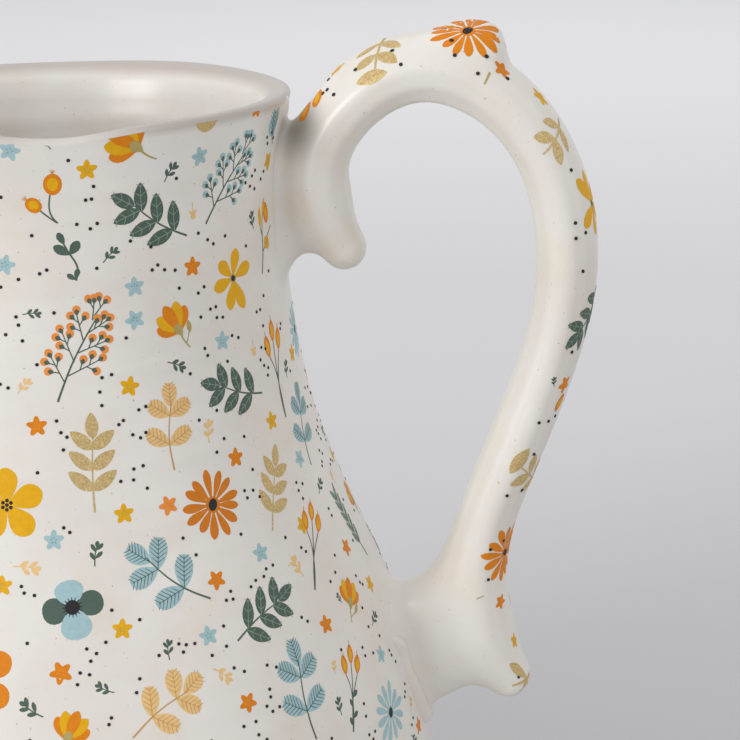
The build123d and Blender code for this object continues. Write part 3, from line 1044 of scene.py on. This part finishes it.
# ---- the decal layout --------------------------------------------------------------------
# Each motif with the room it takes on the wall, in mm: the radius of one that lies round its
# centre, or the length and half width of one that grows; None for those only on the handle.
MOTIFS = {
    "star_yellow": (lambda: star("yellow"), 2.1),
    "star_orange": (lambda: star("orange"), 2.1),
    "star_sky": (lambda: star("sky"), 2.1),
    "star_pale": (lambda: star("orange_pale"), 2.1),
    "daisy_orange": (lambda: daisy("orange_deep", 13, 7.4, 1.9, 1.0, 3), 7.4),
    "daisy_small": (lambda: daisy("orange", 13, 6.5, 1.55, 0.68, 4), None),
    "daisy_sky": (lambda: daisy("sky", 12, 7.4, 1.7, 0.9, 6), 7.4),
    "six_petal": (six_petal, 6.4),
    "broad_yellow": (lambda: broad_flower("yellow", 7.4), 7.4),
    "broad_orange": (lambda: broad_flower("orange", 7.6), 7.6),
    "poppy": (poppy, 6.2),
    "gold_petal": (lambda: [blade("gold", (-2.9, 0), (2.9, 0), 5.6, 0.5, 0.5)], 2.9),
    "dot": (lambda: [disc("ink_black", (0, 0), 0.36, layer=7, count=10)], 0.36),
    "half_flower": (half_flower, (10.0, 3.6)),
    "half_plain": (lambda: half_flower(False), (10.0, 3.6)),
    "green_branch": (green_branch, (18.5, 4.6)),
    "gold_branch": (gold_branch, (19.0, 4.0)),
    "sky_branch": (lambda: round_branch("sky", "leaf", 6), (21.0, 5.2)),
    "peach_branch": (lambda: round_branch("peach", "peach_line", 5), (21.0, 5.2)),
    "berries_orange": (lambda: berry_branch("orange_pale"), (23.0, 5.2)),
    "berries_sky": (lambda: berry_branch("sky"), (23.0, 5.2)),
    "buds": (bud_stems, (23.0, 2.6)),
    "buds_leafy": (lambda: bud_stems(True), (23.0, 2.6)),
    "rosehips": (rosehips, (10.0, 3.4)),
    "leaf_sprig": (leaf_sprig, (10.0, 2.4)),
    "sprig": (sprig, (4.6, 1.0)),
    "sprig_peach": (lambda: sprig("peach", 5.0), (5.0, 1.0)),
    "sprout": (sprout, (3.6, 0.9)),
    "bud_spray": (bud_spray, (16.0, 2.0)),
    "feather_leaf": (feather, (17.5, 2.2)),
    "twig": (lambda: [ribbon("leaf", [(0, 0), (4.5, 0.4), (8.6, 0)], 0.3, 0.2)], (8.6, 0.6)),
    "sky_leaf": (sky_leaf, (5.6, 2.0)),
    "yellow_bud": (lambda: [blade("yellow", (0, 0), (4.4, 0), 1.3)], (4.4, 0.7)),
    "bud": (bud, (5.2, 1.3)),
    "dash": (lambda: [ribbon("olive", [(0, 0), (2.6, 0)], 0.42, 0.3)], None),
    "gold_crossed": (lambda: gold_sprig(2, True), None),
    "gold_fork": (lambda: gold_sprig(2), None),
    "gold_tip": (lambda: gold_sprig(1), None),
}

# Panel of the wall between the spout and the handle, where each decal has the place measured for it
# on the real pitcher, rounded: for each motif its places as (degrees from the handle, height in mm,
# direction of growth in degrees, size); the last two may go unsaid.
PANEL = {
    "star_sky": [(-79, 217.5), (-38, 213, 30), (-55, 189, 20), (-55.5, 182.5, 40), (-34, 174.5, 10),
        (-75.5, 141.5, 15), (-35.5, 131, 15), (-50.5, 119.5, 20), (-15, 144, 40), (-14, 99.5, 60),
        (-82, 195.3)],
    "star_yellow": [(-64, 213, 18), (-11, 208, 50), (-58, 169.5, 75), (-22, 154.5, 88), (-62, 145, 88),
        (-22, 132, 40), (-65, 124, 10), (-85, 133.5, 20), (-7, 112, 40), (-4.6, 164.5)],
    "star_orange": [(-20.5, 220.5, 10), (-40.5, 191, 84), (-77.5, 163.5, 20), (-35.5, 150.5, 80),
        (-46.5, 129, 40), (-75.5, 117.5, 40, 1.1), (-46.5, 105.5, 50), (-26, 112.5, 80), (-10, 122, 30),
        (-7.5, 78, 10)],
    "star_pale": [(-53, 145, 35)],
    "six_petal": [(-28.5, 186.5, 4)],
    "broad_yellow": [(-84, 148.5, 8)],
    "daisy_orange": [(-43.5, 143, 10)],
    "poppy": [(-73, 129)],
    "daisy_sky": [(-17, 88), (3, 168, 20, 0.9)],
    "broad_orange": [(-89, 117, 20, 1.05)],
    "half_plain": [(-49, 213.8, 146, 1.25)],
    "rosehips": [(-70.5, 203, 100)],
    "leaf_sprig": [(-67.5, 191.5, 100)],
    "green_branch": [(-41.5, 197.5, 146), (-23.5, 161, 158, 0.98), (-45.5, 117, 18)],
    "sprig": [(-47, 209, 54), (-19, 195, 101, 0.9), (-79, 185.5, 2, 0.8), (-61.5, 194.5, 42, 0.9),
        (-49, 173, -26), (-71, 217.5, 117, 0.8), (-68.5, 136, 78, 1.1), (-58, 117, 85, 0.9),
        (-78.5, 110, 146, 1.2), (-67.5, 113, 152, 0.9), (-19.5, 114, 106, 0.6), (-29.5, 95, 87, 0.9),
        (-12, 135, 30), (-13, 105.5, 20), (-11.2, 160.8, 75, 0.9)],
    "berries_sky": [(-36, 199, 48, 0.95), (-57, 76, 80, 0.95)],
    "sprout": [(-39.5, 200.5, 94), (-24, 169, 92)],
    "gold_petal": [(-37, 220.5)],
    "sky_leaf": [(-9.6, 213, 92, 0.85)],
    "twig": [(-8, 209.5, 107, 1.1), (-13.1, 191.5, 32)],
    "bud_spray": [(-16.5, 185, 78)],
    "half_flower": [(-43, 175, 120, 1.1), (-76.5, 102.5, 63), (-19, 109.5, 56, 1.05)],
    "berries_orange": [(-73, 168, 62)],
    "buds": [(-16, 153.5, 86), (-25.5, 119.5, 56, 0.92)],
    "sprig_peach": [(-81, 170, 48, 0.8), (-41.5, 155, 82), (-83, 137, -7, 1.1), (-51, 113.5, -45),
        (-27, 123, 109, 1.1), (-28, 103, 75, 0.6), (-1, 133, 95, 0.7), (-9.5, 83, 50, 0.7)],
    "gold_branch": [(-67.5, 146, 86), (-31, 134, 60, 0.95), (-6, 95.5, 48, 0.9)],
    "peach_branch": [(-50.5, 151.5, 84, 0.85), (-65.5, 104.5, 28, 0.88)],
    "sky_branch": [(-48.5, 126, 138), (-36, 93.5, 85), (-10.7, 141, 73, 0.9)],
    "buds_leafy": [(-28, 90.5, 62, 0.85)],
    "feather_leaf": [(-1.5, 116, 102, 1.1)],
    "yellow_bud": [(-5.5, 200.5, 92)],
    "bud": [(-11.9, 195, 99, 0.9)],
    "dot": [(-10.4, 214), (-8.7, 212.6), (-7.9, 210.3)],
}

# Decals on the handle's outer face, measured in the same way, with the unseen far edge filled by choice:
# (mm from the upper curl's tip along the bar, mm across it towards +Y, direction, size).
HANDLE_PANEL = {
    "bud": [(27.2, -6, 66), (30.4, -7.2, 64, 0.9), (139.6, -7.6, 160, 0.85)],
    "star_yellow": [(36.8, -1.8, 0, 0.8), (74.2, -4.2, 20), (202.2, -4.7, 10), (158, 6.5, 0, 0.9)],
    "gold_crossed": [(45.9, -0.5, 254), (157.6, -0.6, 248, 1.1)],
    "daisy_small": [(58.4, -4.1, 10, 0.93), (175.8, -5.8, 20, 1.25), (108, 6.5, 0, 0.9)],
    "star_orange": [(66, -7.4, 30, 0.85), (133.2, -7.6), (188.8, -7, 0, 0.95)],
    "dash": [(64.4, -9.9, -85), (186, -13.2, 110, 0.6)],
    "gold_fork": [(79.2, -3.2, 290)],
    "six_petal": [(96.2, -3.5, -68)],
    "green_branch": [(112.8, -0.4, -43, 0.85), (166, 7, 10, 0.7)],
    "sprig": [(133.6, -11, 200, 0.5), (121, 6.5)],
    "gold_tip": [(212.2, -3.4, 262, 1.45)],
    "star_sky": [(86, 5.5, 0, 0.9), (74, 7, 0, 0.9)],
    "sky_branch": [(148, 6.5, 190, 0.7)],
    "sprig_peach": [(47, 9, -30, 0.9)],
    "rosehips": [(34, 7, -20, 0.7)],
    "half_flower": [(197, 6, 200, 0.7)],
    "dot": [(32.8, -6), (34.8, -3), (33.8, -6.4), (34.3, -9.2), (39.9, -7.9), (46.9, -7.8), (47.9, -11.6),
        (57.6, -9.6), (56.5, -6.6), (62.6, -7.6), (62.6, -11.3), (67.6, -8.4), (88.3, -8.8), (98.4, -11.1),
        (100.9, -8.7), (101.5, -11.4), (108.5, -9.8), (125.7, -9), (142.3, -11.4), (141.8, -8.8),
        (140.8, -6.4), (149.9, -9.2), (159, -8.1), (160.5, -11.9), (174.1, -11.5), (172.1, -8.1),
        (181.7, -10.8), (210, -10.2)],
}

PANEL_EDGES = (-106, 8)     # degrees; the measured panel keeps its own spacing between these
PANEL_FOOT = 84             # and above this height
LARGE_FILL = ("daisy_orange", "six_petal", "poppy", "broad_yellow", "daisy_sky", "half_flower",
              "green_branch", "gold_branch", "sky_branch", "peach_branch", "berries_orange", "berries_sky",
              "buds", "rosehips", "leaf_sprig", "bud_spray", "half_flower", "green_branch", "gold_branch")
SMALL_FILL = ("star_yellow", "star_orange", "star_sky", "star_pale", "sprig", "sprig", "sprig_peach",
              "sprout")
WALL_LIFT = (0.02, 0.011)   # mm from the glaze to the lowest film on the wall, and from layer to layer
BAR_LIFT = (0.05, 0.022)    # the same on the tighter curves of the handle
CLEAR_OF_BAR = 18.0         # mm from the centre line that lie outside the bar everywhere
SUNK = 0.07                 # how deep a film's underside lies in the glaze
BAR_EDGE = 0.6              # longest edge of a film's faces on the handle, in mm


def to_wall(angle, height):
    """Mapping from flat mm round a place on the wall to points on it, their normals and which are kept."""
    radius = float(wall_radius(height))
    slope = float(wall_radius(min(height + 1, LIP_START)) - wall_radius(height - 1)) / 2
    stretch = math.sqrt(1 + slope**2)
    middle = math.radians(angle)

    def place(flat):
        around = middle + flat[:, 0] / radius
        up = height + flat[:, 1] / stretch
        top = LIP_START + rim_rise(around)
        level = np.clip(up, FOOT_HEIGHT + 3, top)
        normal = outside_normal(around, np.minimum(level, LIP_START - 1))
        return outside_point(around, level), normal, up < top

    return place


def to_bar(along, across):
    """Mapping from flat mm round a place on the handle's outer face to the bar, as for the wall."""
    swing = 8.6

    def place(flat):
        last = SCROLL_LENGTH - 0.5
        wanted = np.clip(along + flat[:, 0], 1.0, last + 3.0)
        reach = np.minimum(wanted, last)
        turn = np.clip((across + flat[:, 1]) / swing, -1.9, 1.9)
        step = 0.5
        ahead = (scroll_curve(np.minimum(reach + step, SCROLL_LENGTH))
                 - scroll_curve(np.maximum(reach - step, 0)))
        ahead /= np.linalg.norm(ahead, axis=1, keepdims=True)
        middle = scroll_curve(reach) + ahead * (wanted - reach)[:, None]
        out = np.stack([-ahead[:, 1] * np.cos(turn), np.sin(turn), ahead[:, 0] * np.cos(turn)], -1)
        start = np.stack([middle[:, 0], np.zeros(len(middle)), middle[:, 1]], -1)
        travel = np.full(len(flat), CLEAR_OF_BAR)
        for _ in range(11):
            x, y, z = (start + out * travel[:, None]).T
            travel = travel - handle_distance(x, y, z)
        surface = start + out * travel[:, None]
        normal = field_slope(surface, handle_distance, 0.2)
        return surface, normal / np.linalg.norm(normal, axis=1, keepdims=True), np.ones(len(flat), bool)

    return place


def listed(panel):
    """A panel's placements as (motif, place, place, direction, size)."""
    unsaid = (0, 1)
    return [(motif, *spot, *unsaid[len(spot) - 2:]) for motif, spots in panel.items() for spot in spots]


def footprint(motif, angle, height, direction, size):
    """Circles that cover a motif, as (degrees round the body from the handle, height, radius)."""
    room = MOTIFS[motif][1]
    if isinstance(room, float):
        return [(angle, height, room * size)]
    length, half = room
    turn = math.radians(direction)
    circles = []
    count = max(1, round(length / half / 1.6))
    for index in range(count):
        reach = length * size * (index + 0.5) / count
        up = height + reach * math.sin(turn)
        radius = float(wall_radius(min(max(up, FOOT_HEIGHT), LIP_START)))
        around = angle + math.degrees(reach * math.cos(turn) / radius)
        circles.append((around, up, max(half * size, length * size / count / 2)))
    return circles


class TakenSpace:
    """Circles already used on the wall, for spacing out further decals."""

    def __init__(self):
        self.circles = np.empty((0, 3))

    def add(self, circles):
        self.circles = np.concatenate([self.circles, circles])

    def clear(self, circles, gap):
        for angle, height, radius in circles:
            if height - radius < FOOT_HEIGHT + 5 or height > LIP_START + 1:
                return False
            turn = np.abs(np.mod(self.circles[:, 0] - angle + 180, 360) - 180)
            round_gap = np.radians(turn) * wall_radius(height)
            distance = np.hypot(round_gap, self.circles[:, 1] - height)
            if (distance < self.circles[:, 2] + radius + gap).any():
                return False
        return True


def lay_out_wall():
    """All placements on the wall: the measured panel, then seeded filling of the rest."""
    draw = random.Random(11)
    placements = listed(PANEL)
    taken = TakenSpace()
    for placement in placements:
        taken.add(footprint(*placement))
    for centre, half_height in ((UPPER_MIDDLE, 15), (LOWER_MIDDLE, 16)):
        taken.add([(0, centre + offset, 11) for offset in np.linspace(-half_height, half_height, 5)])
    for kinds, tries, gap in ((LARGE_FILL, 5200, 1.3), (SMALL_FILL, 6500, 1.4), (["dot"], 5200, 0.7)):
        for _ in range(tries):
            motif = draw.choice(kinds)
            height = draw.uniform(FOOT_HEIGHT + 8, LIP_START)
            angle = draw.uniform(-180, 180)
            if draw.random() > float(wall_radius(height)) / BELLY_RADIUS:
                continue
            placement = (motif, angle, height, draw.uniform(0, 360), 1.0)
            circles = footprint(*placement)
            in_panel = PANEL_EDGES[0] < angle < PANEL_EDGES[1] and height > PANEL_FOOT
            if (motif != "dot" and in_panel) or not taken.clear(circles, gap):
                continue
            placements.append(placement)
            taken.add(circles)
            if motif == "dot" and draw.random() < 0.55:
                second = ("dot", angle + draw.uniform(-2.2, 2.2), height + draw.uniform(-1.6, 1.6), 0, 1.0)
                if taken.clear(footprint(*second), 0.4):
                    placements.append(second)
                    taken.add(footprint(*second))
    return placements


def finer(points, faces):
    """A flat shape with every face cut into four, so that it can follow a tight curve."""
    points = [tuple(point) for point in points]
    halves = {}

    def half_way(*corners):
        key = tuple(sorted(corners))
        if key not in halves:
            halves[key] = len(points)
            points.append(tuple(sum(points[c][axis] for c in corners) / len(corners) for axis in (0, 1)))
        return halves[key]

    pieces = []
    for face in faces:
        middles = [half_way(a, b) for a, b in zip(face, face[1:] + face[:1])]
        before = middles[-1:] + middles[:-1]
        if len(face) == 4:
            centre = half_way(*face)
            pieces += [(corner, after, centre, back) for corner, after, back in zip(face, middles, before)]
        else:
            pieces += [(corner, after, back) for corner, after, back in zip(face, middles, before)]
            pieces.append(tuple(middles))
    return np.array(points), pieces


def longest_edge(points, faces):
    """Length of a flat shape's longest edge."""
    return max(math.dist(points[a], points[b]) for face in faces for a, b in zip(face, face[1:] + face[:1]))


def collect(placements, mapping, sheets, lift, step, limit=None):
    """Maps motifs on to a surface and sorts their shapes by colour, each with a top and an underside."""
    for motif, along, across, direction, size in placements:
        shapes = turned(MOTIFS[motif][0](), direction, size)
        for index, (colour, layer, outline, faces) in enumerate(shapes):
            while limit and longest_edge(outline, faces) > limit:
                outline, faces = finer(outline, faces)
            shapes[index] = (colour, layer, outline, faces)
        surface, normal, kept = mapping(along, across)(np.concatenate([shape[2] for shape in shapes]))
        start = 0
        for colour, layer, outline, faces in shapes:
            stop = start + len(outline)
            faces = [face for face in faces if kept[start:stop][list(face)].any()]
            if faces:
                sheet = sheets.setdefault(colour, {"tops": [], "undersides": [], "faces": [], "count": 0})
                sheet["tops"].append(surface[start:stop] + normal[start:stop] * (lift + step * layer))
                sheet["undersides"].append(surface[start:stop] - normal[start:stop] * SUNK)
                sheet["faces"].extend(tuple(sheet["count"] + v for v in face) for face in faces)
                sheet["count"] += len(outline)
            start = stop


def film_shell(sheet):
    """Closed shell of a colour's films: tops, undersides and the thin edges between them."""
    points = np.concatenate(sheet["tops"] + sheet["undersides"])
    under = sheet["count"]
    tops = sheet["faces"]
    edges = {(a, b) for face in tops for a, b in zip(face, face[1:] + face[:1])}
    rims = [(b, a, a + under, b + under) for a, b in edges if (b, a) not in edges]
    faces = tops + [tuple(v + under for v in reversed(face)) for face in tops] + sorted(rims)
    return points, faces


def make_decals(name, placements, mapping, lifts, materials, limit=None):
    """One piece of fired film for each colour, lying just over the glaze and sunk into it."""
    sheets = {}
    collect(placements, mapping, sheets, *lifts, limit)
    for colour, sheet in sheets.items():
        points, faces = film_shell(sheet)
        piece = make_piece(f"{name}_{colour}", points, faces, [materials[colour]])
        count = sheet["count"]
        normals = points[:count] - points[count:]
        normals /= np.linalg.norm(normals, axis=1, keepdims=True)
        piece.data.normals_split_custom_set_from_vertices(np.concatenate([normals, normals]).tolist())


# ---- build the pitcher ---------------------------------------------------------------------
warm, pale = srgb(222, 217, 209), srgb(229, 226, 219)
body_glaze = glaze("body_glaze", 0.36, warm, srgb(230, 227, 221), with_lip=True)
inside_glaze = glaze("inside_glaze", 0.34, srgb(221, 216, 210), srgb(228, 224, 219), with_lip=True)
# The handle's glaze carries the painted crevice shade at the notch.
handle_glaze = glaze("handle_glaze", 0.36, warm, pale, shade_and_pool_spot=NOTCH)
slip_glaze = glaze("slip_glaze", 0.38, srgb(221, 216, 208), srgb(228, 224, 217))
inks = {name: fired_ink(name, srgb(*colour)) for name, colour in INKS.items()}
inks["gold"] = gold_ink()

make_vessel([body_glaze, bare_clay(), inside_glaze])
make_handle(handle_glaze)
make_slip_bead("upper_slip_bead", "upper_slip_joint", UPPER_MIDDLE, 1.9, 0.5, 2.1, 2, slip_glaze)
make_slip_bead("lower_slip_bead", "lower_slip_joint", LOWER_MIDDLE, 1.6, 2.2, 1.8, 0.75, slip_glaze)
make_decals("wall", lay_out_wall(), to_wall, WALL_LIFT, inks)
make_decals("bar", listed(HANDLE_PANEL), to_bar, BAR_LIFT, inks, BAR_EDGE)


# ---- floor, light and camera ------------------------------------------------------------------
def stage_material():
    """Pale seamless studio paper with painted shade and light: a little darker close to the pitcher, lighter
    far behind it.
    """
    material, tree, shader = new_material("studio_paper")
    # Painted shade and light: the paper's grey rises with distance behind the pitcher, in place of light
    # falling off across the floor.
    greys = ((0.05, 197), (0.19, 215), (0.4, 223), (1.0, 230))
    stops = [(place, srgb(grey, grey, grey + 2)) for place, grey in greys]
    tone = add_ramp(tree, add_height(tree, 0, 2.5, "Y"), stops)
    feed(tree, shader, {"Base Color": tone, "Roughness": 0.9})
    return material


def add_light(name, position, target, size, power):
    """A square soft light aimed at a place; metres and watts."""
    light = bpy.data.lights.new(name, "AREA")
    light.size = size
    light.energy = power
    lamp = bpy.data.objects.new(name, light)
    lamp.location = position
    lamp.rotation_euler = (Vector(target) - Vector(position)).to_track_quat("-Z", "Y").to_euler()
    bpy.context.scene.collection.objects.link(lamp)


paper_mesh = bpy.data.meshes.new("studio_floor")
paper_mesh.from_pydata([(-9, -6, 0), (9, -6, 0), (9, 12, 0), (-9, 12, 0)], [], [(0, 1, 2, 3)])
paper = bpy.data.objects.new("studio_floor", paper_mesh)
bpy.context.scene.collection.objects.link(paper)
paper.data.materials.append(stage_material())

world = bpy.data.worlds.new("studio")
world.use_nodes = True
feed(world.node_tree, world.node_tree.nodes["Background"], {"Color": (0.99, 0.99, 1.0, 1), "Strength": 0.75})
bpy.context.scene.world = world
bpy.context.scene.view_settings.view_transform = "Standard"

add_light("key", (-1.15, -1.35, 0.62), (0, 0, 0.15), 0.8, 16)
add_light("fill", (1.3, -0.5, 0.7), (0, 0, 0.15), 0.9, 0.9)
add_light("ceiling", (0.4, 0.8, 2.4), (0.2, 0.6, 0), 3.0, 8)
add_light("backdrop", (0, 1.6, 1.6), (0, 4.0, 0.2), 1.6, 6)

camera_data = bpy.data.cameras.new("camera")
camera_data.lens = 85
camera_data.sensor_width = 36
camera = bpy.data.objects.new("camera", camera_data)
bpy.context.scene.collection.objects.link(camera)
turn, tilt, roll = (math.radians(angle) for angle in CAMERA_ANGLES)
forward = Vector((-math.sin(turn) * math.cos(tilt), math.cos(turn) * math.cos(tilt), -math.sin(tilt)))
level = Vector((math.cos(turn), math.sin(turn), 0))
upright = level.cross(forward)
right = math.cos(roll) * level - math.sin(roll) * upright
up = math.sin(roll) * level + math.cos(roll) * upright
basis = Matrix((right, up, -forward)).transposed().to_4x4()
basis.translation = Vector(CAMERA_PLACE)
camera.matrix_world = basis
bpy.context.scene.camera = camera
